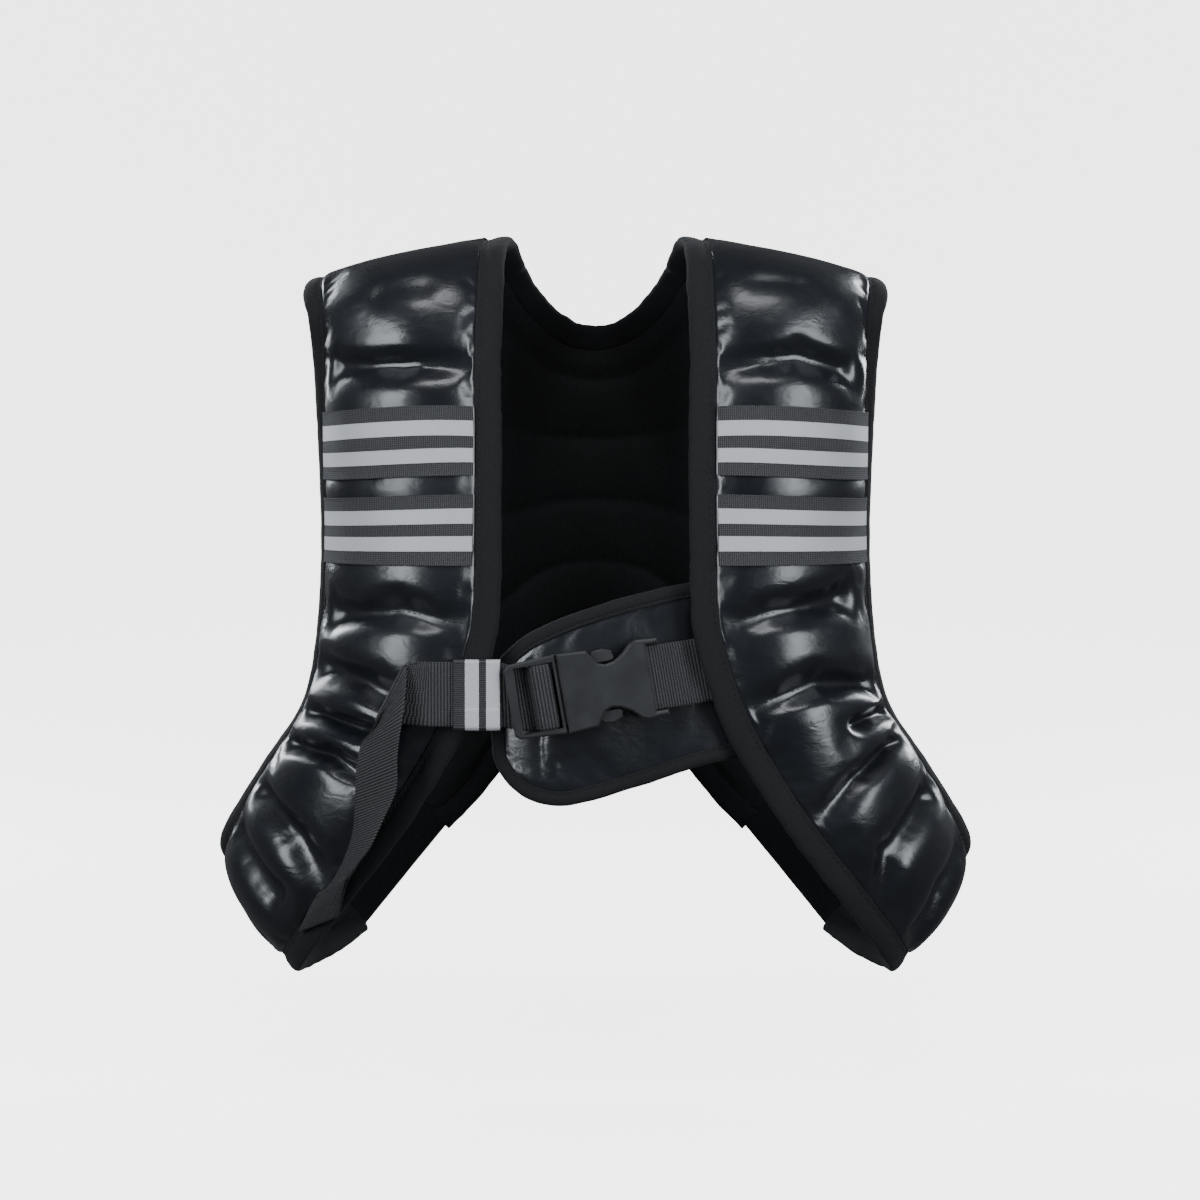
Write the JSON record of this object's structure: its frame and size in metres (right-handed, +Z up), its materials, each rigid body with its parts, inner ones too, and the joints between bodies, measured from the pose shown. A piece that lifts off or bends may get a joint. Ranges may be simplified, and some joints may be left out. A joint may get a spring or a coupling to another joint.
{
  "type": "weighted exercise vest",
  "caption": "Shot-filled exercise vest, worn form: quilted gloss-black panels on a soft lining, edge tape, striped bands, chest flap and side-release buckle.",
  "frame": {"origin": "midway between the wearer's shoulders, at the height where the shoulder parts rest on them", "axes": "+X to the wearer's left, -Y the way the wearer faces, +Z up"},
  "size_m": [0.4776, 0.2362, 0.4595],
  "materials": {
    "coated": "black coated cloth with a leather-like gloss, quilted",
    "lining": "smooth matt black stretch foam lining",
    "edging": "matt black folded edge tape",
    "stretch": "matt black stretch cloth",
    "band": "dark ribbed tape with two pale grey reflective stripes",
    "webbing": "black ribbed woven webbing",
    "buckle": "satin black moulded plastic"
  },
  "bodies": {
    "root": {"front_panel_left": "coated", "front_panel_right": "coated", "back_panel": "coated", "flap": "coated", "lining_front_left": "lining", "lining_front_right": "lining", "lining_back": "lining", "neck_edging": "edging", "hem_edging": "edging", "armhole_edging_left": "edging", "armhole_edging_right": "edging", "flap_edging": "edging", "side_panel_left": "stretch", "side_panel_right": "stretch", "band_shoulder_left": "band", "band_shoulder_right": "band", "band_upper_left": "band", "band_upper_right": "band", "band_lower_left": "band", "band_lower_right": "band", "keeper": "band", "strap_short": "webbing", "strap_adjust": "webbing", "buckle_socket": "buckle", "buckle_plug": "buckle"}
  },
  "joints": []
}
